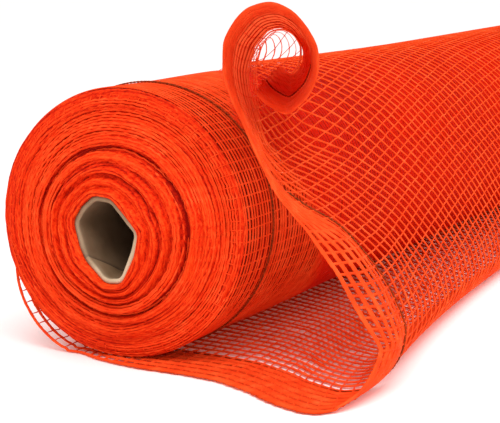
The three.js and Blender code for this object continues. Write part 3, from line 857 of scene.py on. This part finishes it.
def cross_runs(lines, n, row, thick, bends):
    """Row n of the cross yarns, as runs of (point, normal, thickness) broken where a chain has no stitch."""
    runs = [[]]
    for line, bend in zip(lines, bends):
        index = n * line.stitches - int(round(line.at[0] / row * line.stitches))
        if index < 0 or index >= len(line.at):
            runs.append([])
            continue
        here, face, share = line.points[index], line.normals[index], line.share[index]
        in_band = line.u < BAND_END and BAND_RUNG.start < share < BAND_RUNG.to
        rung = BAND_RUNG.times if in_band else 1.0
        rung *= float(by_share(RUNG, share))
        if runs[-1]:
            heading = line.points[min(index + 1, len(line.at) - 1)] - line.points[index - 1]
            heading /= max(np.linalg.norm(heading), 1e-6)
            runs[-1].append(((runs[-1][-1][0] + here) / 2 + heading * bend, face, thick * rung))
        runs[-1].append((here, face, thick * rung))
    return [run for run in runs if len(run) >= SHORTEST_RUNG]


class NETTING_OT_loose_end(bpy.types.Operator):
    """Knits the loose end: chains, cross yarns and its marker thread"""

    bl_idname = "netting.loose_end"
    bl_label = "Loose end"

    def execute(self, context):
        sizes = context.scene.netting_sizes
        lines = loose_end_lines(ClothSurface(), sizes)
        row = sizes.row_pitch / MM
        chance = np.random.default_rng(5)
        yarn = netting_yarn()
        chains, cross, thread = YarnBundle(), YarnBundle(), YarnBundle()
        for k, line in enumerate(lines):
            if line.u == MARKER_AT:
                marker_plies(thread, line)
            chains.add(line.points, line.normals, *chain_shape(line, beside(lines, k), sizes))
        rows = int(max(line.at[-1] for line in lines) / row)
        bends = chance.normal(0, RUNG_SAG, (rows + 2, len(lines)))
        for n in range(1, rows + 1):
            for run in cross_runs(lines, n, row, sizes.cross_yarn / MM, bends[n]):
                points, faces, thick = zip(*run)
                cross.add(np.array(points), np.array(faces), PLAIN_YARN, thick, thick)
        net = chains.piece("loose_end_chains", yarn)
        rows_piece = cross.piece("loose_end_cross_yarns", yarn)
        marker = thread.piece("loose_end_marker_thread", marker_yarn())
        for piece in (net, rows_piece, marker):
            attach(piece, "root")
        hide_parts("loose_end")
        return {"FINISHED"}


# Rings of points over the near face, the outside and the far face, and points round each ring.
FACE_STEPS = 150
OUTSIDE_STEPS = 60
FAR_STEPS = 60
ROUND_STEPS = 320
# The end faces' wall and the core's mean radius, the pitch of the ridges drawn and the deepest groove, all
# in millimetres. The faces end at the last share, a little short of the rim.
FACE_WALL = Values(wall=60, pitch=2.1, deepest=6, core=26, last=0.985)
# The outside of the wound body begins a little in from each end and lies this far under the chains.
OUTSIDE = Values(inset=2.0, dip=0.9, rounding=1.6)
# The bore's ends, from the near end and from the far end of the roll.
BORE = Values(near=15.0, far=19.0)
BORE_SHADE = 0.3


def end_face(shares, angles, near, ridge):
    """Rings of points over an end face, with their painted shade and their places in the wound map."""
    rings, shades, maps = [], [], []
    turn = np.radians(angles)
    chance = np.random.default_rng(3 if near else 4)
    grain = chance.normal(0, 1, (len(shares), len(angles)))
    # The grain is spread over two rings each way and five points along each ring.
    for axis, reach in ((0, 2), (1, 5)):
        grain = sum(np.roll(grain, k, axis=axis) for k in range(-reach, reach + 1)) / (2 * reach + 1) ** 0.5
    for k, share in enumerate(shares):
        slide = between(FACE_TURNS, "share", "slide", share)
        groove = between(FACE_TURNS, "share", "groove", share)
        depth = share * FACE_WALL.wall
        phases = (0.4 + share * 5, 1.9 - share * 7, 3.0 + share * 11)
        wobble = waves(angles, phases, (2, 3, 7), (0.9, 0.6, 0.35))
        layer = (depth + wobble) / FACE_WALL.pitch + angles / 360
        fold = 1 - (0.5 + 0.5 * np.cos(2 * np.pi * layer)) ** 3
        strong = 0.62 + 0.38 * np.sin(share * 31 + 1.7 * np.sin(turn + share * 6))
        edge = smooth(share / 0.05) * smooth((1 - share) / 0.02)
        height = ridge * (fold * strong + 0.3 * grain[k]) * edge
        wave = waves(angles, (share * 9, 2 + share * 4), (1, 4), (0.8, 0.35)) * edge
        if near:
            x = NEAR_X - slide + groove + wave - height
        else:
            x = NEAR_X + ROLL_LENGTH - slide - groove + wave + height
        rings.append(turn_ring(np.broadcast_to(x, angles.shape), share, angles))
        hollow = groove / FACE_WALL.deepest
        # Near the rim the turns lie open, so less light comes back from between them.
        open_net_shade = 0.1 * ramp(share, 0.8, 0.04)
        # Painted shade: darker between the folds, much darker in the grooves and near the rim, with a little
        # random tone from the grain.
        shades.append(0.3 - 0.3 * (1 - fold) * strong - 0.4 * hollow**2 - open_net_shade + 0.03 * grain[k])
        along = angles / 360 * 2 * math.pi * mix(FACE_WALL.core, ROLL_RADIUS, share)
        maps.append(np.column_stack([along, np.full(len(angles), depth)]))
    return rings, shades, maps


# Where the loose end's shadow is painted on the roll, in degrees from the front over the top. Its edge lies
# at this place, and leans away from it below the low angle and above the high one, in millimetres a degree.
COVER_PAST = (-75, 20)
COVER_END_PAST = (140, 15)
COVER_EDGE = Values(place=38, soft=25, low=45, low_lean=1.25, high=50, high_lean=2.4)


def covered(place, angles):
    """How far the roll lies in the loose end's painted shadow: 0 in the open, 1 under it."""
    turn = (angles + 90) % 360 - 90
    within = ramp(turn, *COVER_PAST) * (1 - ramp(turn, *COVER_END_PAST))
    below = np.maximum(0.0, COVER_EDGE.low - turn)
    past = np.maximum(0.0, turn - COVER_EDGE.high)
    edge = COVER_EDGE.place + COVER_EDGE.low_lean * below + COVER_EDGE.high_lean * past
    return ramp(place, edge, COVER_EDGE.soft) * within


class NETTING_OT_wound_turns(bpy.types.Operator):
    """Shapes the wound body of the roll with the ridged edges of its turns on both ends"""

    bl_idname = "netting.wound_turns"
    bl_label = "Wound turns"

    def execute(self, context):
        sizes = context.scene.netting_sizes
        angles = all_round(ROUND_STEPS)
        ridge, last = sizes.face_ridge / MM, FACE_WALL.last
        near, near_shade, near_map = end_face(np.linspace(0.0, last, FACE_STEPS), angles, True, ridge)
        far, far_shade, far_map = end_face(np.linspace(last, 0.0, FAR_STEPS), angles, False, ridge)
        outside, shades, maps = [], [], []
        along = angles / 360 * 2 * math.pi * ROLL_RADIUS
        for place in np.linspace(OUTSIDE.inset, ROLL_LENGTH - OUTSIDE.inset, OUTSIDE_STEPS):
            rim = min(place, ROLL_LENGTH - place)
            rounded = OUTSIDE.rounding * max(0.0, 1 - rim / RIM_ROUNDING) ** 2
            dip = waist(place) + OUTSIDE.dip + rounded
            outside.append(turn_ring(np.full(len(angles), NEAR_X + place), 1.0, angles, dip))
            # Painted shade on the body under the outer turn's chains: nearly the darkest in the open and
            # lighter under the loose end, so that the gaps there read red.
            shades.append(0.02 + 0.55 * covered(place, angles))
            maps.append(np.column_stack([along, np.full(len(angles), place)]))
        bore_ends = (NEAR_X + ROLL_LENGTH - BORE.far, NEAR_X - BORE.near)
        bore = [core_ring(x, CORE_WALL + GAP, angles) for x in bore_ends]
        rings = [*near, *outside, *far, *bore]
        shade = np.concatenate([*near_shade, *shades, *far_shade, np.full(2 * len(angles), BORE_SHADE)])
        wound = np.vstack([*near_map, *maps, *far_map, near_map[0], near_map[0]])
        quads = grid_quads(len(rings), len(angles), wrap_rows=True, wrap_columns=True)
        body = mesh_piece("wound_turns", np.vstack(rings), quads, wound_netting(), {"shade": shade}, wound)
        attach(body, "root")
        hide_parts("netting_roll")
        return {"FINISHED"}


# Looped edges of single turns on the near face, by share of the way out to the rim. loop is the length of
# one loop along the turn, in millimetres. From rim_from on they bend over the rim.
TURN_EDGES = Values(start=0.34, step=0.0265, loop=7.4, rows_from=0.86, rim_from=0.9, last=0.998)
# The outer turn's chains and cross yarns lie this far under the solid's outside, in millimetres, and no
# lower than this over the floor. The marker thread lies a little outside them.
WRAP_DIP = Values(chains=0.35, rows=0.55, marker=-0.25)
WRAP_LOWEST = Values(yarns=LOWEST + 0.4, marker=LOWEST + 0.6)
# The first chain and the last from the ends, and how far in the chains are drawn with two points a row.
WRAP_PLACES = Values(first=1.5, last=1.0, fine_to=200)
# Past this place a chain is this much broader.
BROAD_PAST = (38, 12)
BROADER = 1.3
# Under the loose end the chains are flat and close the net, and everything on the roll is painted darker by
# this share, as its shadow.
WRAP_COVERED = Values(of_pitch=1.6, height=0.2, darker=0.9)
# The marker thread's place from the near rim and the twist of its two plies, in millimetres.
MARKER = Values(place=40.7, half_turn=2.6, aside=0.7, wave=0.6, rise=0.25)


def ring_slide(share):
    """How far the near face stands out beyond the roll's end, with its grooves taken off."""
    return between(FACE_TURNS, "share", "slide", share) - between(FACE_TURNS, "share", "groove", share)


def turn_edges(chains, chance):
    """Adds the looped edges of the outer turns that show on the near face, out to its rim."""
    for share in np.arange(TURN_EDGES.start, 1.0, TURN_EDGES.step):
        radius = mix(FACE_WALL.core, ROLL_RADIUS, share)
        loops = int(2 * math.pi * radius / TURN_EDGES.loop)
        angles = np.arange(loops * 3) * 120 / loops
        weave = np.cos(np.radians(angles) * loops + chance.normal(0, 0.5, len(angles)))
        at = share + 0.0035 * weave + 0.0025 * waves(angles, chance.uniform(0, 6, 3), (3, 7, 13), (1, 1, 1))
        rise = 0.4 + 0.3 * weave * chance.choice([-1, 1])
        rise = rise + 0.4 * waves(angles, chance.uniform(0, 6, 2), (2, 5), (1, 1))
        rim = 5.0 * max(0.0, share - TURN_EDGES.rim_from) / 0.1
        x = NEAR_X - ring_slide(share) - rise * (1 - 0.5 * rim / 5) + 0.3 * rim
        ring = turn_ring(x, np.minimum(at, TURN_EDGES.last)[:, None], angles)
        facing = np.tile([-1.0, 0.0, 0.0], (len(angles), 1))
        # Painted shade: the loops on the face are darker than open yarn, and lighter and darker along each
        # loop, with random tone.
        shade = 0.75 + 0.2 * weave + 0.1 * chance.normal()
        width = 1.8 if share < 0.8 else 1.45
        chains.add(ring, facing, PLAIN_YARN, width, 1.3, np.clip(shade, 0.1, 1.0), closed=True)


def rim_stitches(angle):
    """The way of one cross yarn over the near rim, from a little inside it on the face."""
    shares = np.linspace(TURN_EDGES.rows_from, 0.99, 7)
    over = 3.0 * np.maximum(0.0, shares - TURN_EDGES.rim_from) / 0.1
    line = np.array([turn_ring(NEAR_X, share, np.array([angle + 8 * (1 - share)]))[0] for share in shares])
    line[:, 0] = NEAR_X - ring_slide(shares) - 1.3 + over
    return line


class NETTING_OT_outer_wrap(bpy.types.Operator):
    """Winds the roll's outer turn of real chains and cross yarns, with its marker thread"""

    bl_idname = "netting.outer_wrap"
    bl_label = "Outer wrap"

    def execute(self, context):
        sizes = context.scene.netting_sizes
        pitch, row = sizes.wrap_pitch / MM, sizes.wrap_row_pitch / MM
        chance = np.random.default_rng(8)
        yarn = netting_yarn()
        chains, cross, thread = YarnBundle(), YarnBundle(), YarnBundle()
        rows = int(2 * math.pi * ROLL_RADIUS / row)
        places = np.arange(WRAP_PLACES.first, ROLL_LENGTH - WRAP_PLACES.last, pitch)
        for place in places:
            angles = all_round(rows * (2 if place < WRAP_PLACES.fine_to else 1))
            wander = waves(angles, chance.uniform(0, 6, 3), (1, 3, 9), (0.5, 0.35, 0.2))
            dip = float(waist(place)) + WRAP_DIP.chains
            ring = turn_ring(NEAR_X + place + wander, 1.0, angles, dip, WRAP_LOWEST.yarns)
            length = angles / 360 * rows * row
            broad = sizes.wrap_chain_width / MM * mix(1.0, BROADER, float(ramp(place, *BROAD_PAST)))
            shaded = covered(place, angles)
            width = mix(broad * (1 + 0.1 * chance.normal()), pitch * WRAP_COVERED.of_pitch, shaded)
            width = chain_widths(length, row, width, KNOTS.wrap)
            # Random tone, times the loose end's painted shadow.
            shade = (0.92 + 0.08 * chance.normal()) * (1 - WRAP_COVERED.darker * shaded)
            height = mix(1.1, WRAP_COVERED.height, shaded)
            chains.add(ring, outward_normals(angles), PLAIN_YARN, width, height, shade, closed=True)
        for n in range(rows):
            angles = 360 * (n + 0.5 * chance.normal(0, 0.12)) / rows
            angles = angles + np.cumsum(chance.normal(0, 0.05, len(places)))
            radius = roll_radius(places) - (waist(places) + WRAP_DIP.rows)
            line = np.column_stack([NEAR_X + places, on_roll(places, angles, radius)])
            line[:, 2] = np.maximum(line[:, 2], WRAP_LOWEST.yarns)
            normals = outward_normals(angles)
            face = rim_stitches(angles[0])
            # The loose end's painted shadow, and painted shade on the stitches over the face.
            shade = 1 - WRAP_COVERED.darker * covered(places, angles)
            shade = np.concatenate([np.full(len(face), 0.75), shade])
            thick = np.concatenate([np.linspace(0.5, 1.0, len(face)), np.full(len(line), 1.1)])
            tilt = np.linspace(1.0, 0.2, len(face))
            turned = np.column_stack([-tilt, np.outer(1 - tilt, normals[0, 1:])])
            way, facing = np.vstack([face, line]), np.vstack([turned, normals])
            cross.add(way, facing, PLAIN_YARN, thick, 0.75 * thick, shade)
        angles = all_round(rows * 6)
        normals = outward_normals(angles)
        twist = angles / 360 * rows * row / MARKER.half_turn * np.pi
        for start in (0.0, math.pi):
            place = MARKER.place + MARKER.aside * np.cos(twist + start)
            place = place + MARKER.wave * np.sin(np.radians(angles) * 3)
            ring = turn_ring(NEAR_X + place, 1.0, angles, WRAP_DIP.marker, WRAP_LOWEST.marker)
            ring[:, 1:] += normals[:, 1:] * (MARKER.rise * np.sin(twist + start))[:, None]
            thread.add(ring, normals, PLAIN_YARN, 1.0, 0.8, closed=True)
        turn_edges(chains, chance)
        wrap = chains.piece("outer_wrap_chains", yarn)
        cross_piece = cross.piece("outer_wrap_cross_yarns", yarn)
        marker = thread.piece("outer_wrap_marker_thread", marker_yarn())
        for piece in (wrap, cross_piece, marker):
            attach(piece, "root")
        return {"FINISHED"}


# Points round the core tube, its mean way round in millimetres, and where its rings lie from each end.
CORE_STEPS = 144
CORE_ROUND = 145
CORE_END_RINGS = [0, 2, 6, 15]
CORE_MIDDLE_RINGS = Values(start=30, count=24)


class NETTING_OT_core_tube(bpy.types.Operator):
    """Makes the crushed paper core with its plies and pale cut ends"""

    bl_idname = "netting.core_tube"
    bl_label = "Core tube"

    def execute(self, context):
        angles = all_round(CORE_STEPS)
        near = NEAR_X + CORE_SHIFT
        far = near + ROLL_LENGTH
        rough = waves(angles, (0.3, 1.4, 4.0), (3, 5, 11), (0.5, 0.3, 0.15))
        inset = CORE_MIDDLE_RINGS.start
        middle = np.linspace(inset, ROLL_LENGTH - inset, CORE_MIDDLE_RINGS.count)
        places = np.concatenate([CORE_END_RINGS, middle, ROLL_LENGTH - np.array(CORE_END_RINGS[::-1])])
        inside = [core_ring(near + place, 0.0, angles) for place in places]
        outside = [core_ring(near + place, CORE_WALL, angles) for place in places[::-1]]
        inside[0][:, 0] += rough
        outside[-1][:, 0] += rough
        near_edge = core_ring(near, CORE_WALL * 0.5, angles)
        near_edge[:, 0] += rough - 0.3
        rings = [*inside, core_ring(far, CORE_WALL * 0.5, angles), *outside, near_edge]
        # The cut edges at both ends are pale, and the colour runs a little way into the near end.
        shade = np.zeros(len(rings))
        shade[[0, 1, len(places), -2, -1]] = [1.0, 0.4, 1.0, 1.0, 1.0]
        # The cut end is painted paler where its plies face the light, low and toward the front: a painted
        # highlight on the real pale edge.
        facing = 0.25 + 0.75 * np.clip(waves(angles, (2.4,), (1,), (1.3,)), 0, 1)
        layers = {"shade": np.outer(shade, facing).ravel()}
        lengths = np.concatenate([places, [places[-1]], places[::-1], [0.0]])
        across = angles / 360 * CORE_ROUND
        wound = np.vstack([np.column_stack([np.full(CORE_STEPS, length), across]) for length in lengths])
        quads = grid_quads(len(rings), CORE_STEPS, wrap_rows=True, wrap_columns=True)
        tube = mesh_piece("paper_core", np.vstack(rings), quads, core_board(), layers, wound)
        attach(tube, "root")
        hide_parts("core_tube")
        return {"FINISHED"}


# The camera's place and turn, matched to the photograph. Degrees and metres.
CAMERA = Values(place=(-1.56892, -0.58140, 0.27976), azimuth=-65.248, elevation=8.655, lens=140.66)
# The point that the softboxes face, and the floor's half width and depth under the roll, in metres.
LIT_POINT = (-0.35, -0.05, 0.1)
FLOOR = Values(reach=12.0, below=0.0005)


def softbox(name, place, size, power):
    light = bpy.data.lights.new(name, "AREA")
    light.shape = "RECTANGLE"
    light.size, light.size_y = size
    light.energy = power
    lamp = add_object(name, light)
    lamp.location = place
    lamp.rotation_euler = (Vector(LIT_POINT) - Vector(place)).to_track_quat("-Z", "Y").to_euler()


class NETTING_OT_stage(bpy.types.Operator):
    """Sets the camera, the softboxes and the pale floor"""

    bl_idname = "netting.stage"
    bl_label = "Camera, light and floor"

    def execute(self, context):
        studio = context.scene.studio_settings
        azimuth, elevation = math.radians(CAMERA.azimuth), math.radians(CAMERA.elevation)
        level = math.cos(elevation)
        back = Vector((level * math.sin(azimuth), -level * math.cos(azimuth), math.sin(elevation)))
        lens = bpy.data.cameras.new("Photo camera")
        lens.lens = CAMERA.lens
        lens.sensor_width = 36.0
        lens.clip_end = 50.0
        camera = add_object("Photo camera", lens)
        camera.location = CAMERA.place
        camera.rotation_euler = (-back).to_track_quat("-Z", "Y").to_euler()
        context.scene.camera = camera
        mesh = bpy.data.meshes.new("Floor")
        ways = ((-1, -1), (1, -1), (1, 1), (-1, 1))
        corners = [(x * FLOOR.reach, y * FLOOR.reach, -FLOOR.below) for x, y in ways]
        mesh.from_pydata(corners, [], [(0, 1, 2, 3)])
        mesh.materials.append(studio_floor())
        floor = add_object("Floor", mesh)
        softbox("Key softbox", (-1.5, -0.5, 1.6), (1.3, 1.0), studio.key_light)
        softbox("Fill softbox", (-0.6, -2.2, 0.9), (1.6, 1.2), studio.fill_light)
        world = bpy.data.worlds.new("Studio")
        world.use_nodes = True
        sky = world.node_tree.nodes["Background"]
        sky.inputs["Color"].default_value = (*studio.sky, 1.0)
        sky.inputs["Strength"].default_value = studio.sky_strength
        context.scene.world = world
        context.scene.view_settings.view_transform = "Standard"
        return {"FINISHED"}


class NETTING_PT_panel(bpy.types.Panel):
    """Builds the roll of netting piece by piece"""

    bl_label = "Debris netting"
    bl_idname = "NETTING_PT_panel"
    bl_space_type = "VIEW_3D"
    bl_region_type = "UI"
    bl_category = "Netting"

    def draw(self, context):
        column = self.layout.column()
        for settings in (context.scene.netting_sizes, context.scene.studio_settings):
            for name in settings.__annotations__:
                column.prop(settings, name)
        for operator in OPERATORS:
            column.operator(operator.bl_idname)


OPERATORS = (
    NETTING_OT_stage,
    NETTING_OT_core_tube,
    NETTING_OT_wound_turns,
    NETTING_OT_outer_wrap,
    NETTING_OT_loose_end,
)
CLASSES = (NettingSizes, StudioSettings, *OPERATORS, NETTING_PT_panel)


def register():
    for each in CLASSES:
        bpy.utils.register_class(each)
    bpy.types.Scene.netting_sizes = PointerProperty(type=NettingSizes)
    bpy.types.Scene.studio_settings = PointerProperty(type=StudioSettings)


def unregister():
    del bpy.types.Scene.netting_sizes
    del bpy.types.Scene.studio_settings
    for each in reversed(CLASSES):
        bpy.utils.unregister_class(each)


def main():
    register()
    bpy.ops.netting.stage()
    bpy.ops.netting.core_tube()
    bpy.ops.netting.wound_turns()
    bpy.ops.netting.outer_wrap()
    bpy.ops.netting.loose_end()


if __name__ == "__main__":
    main()
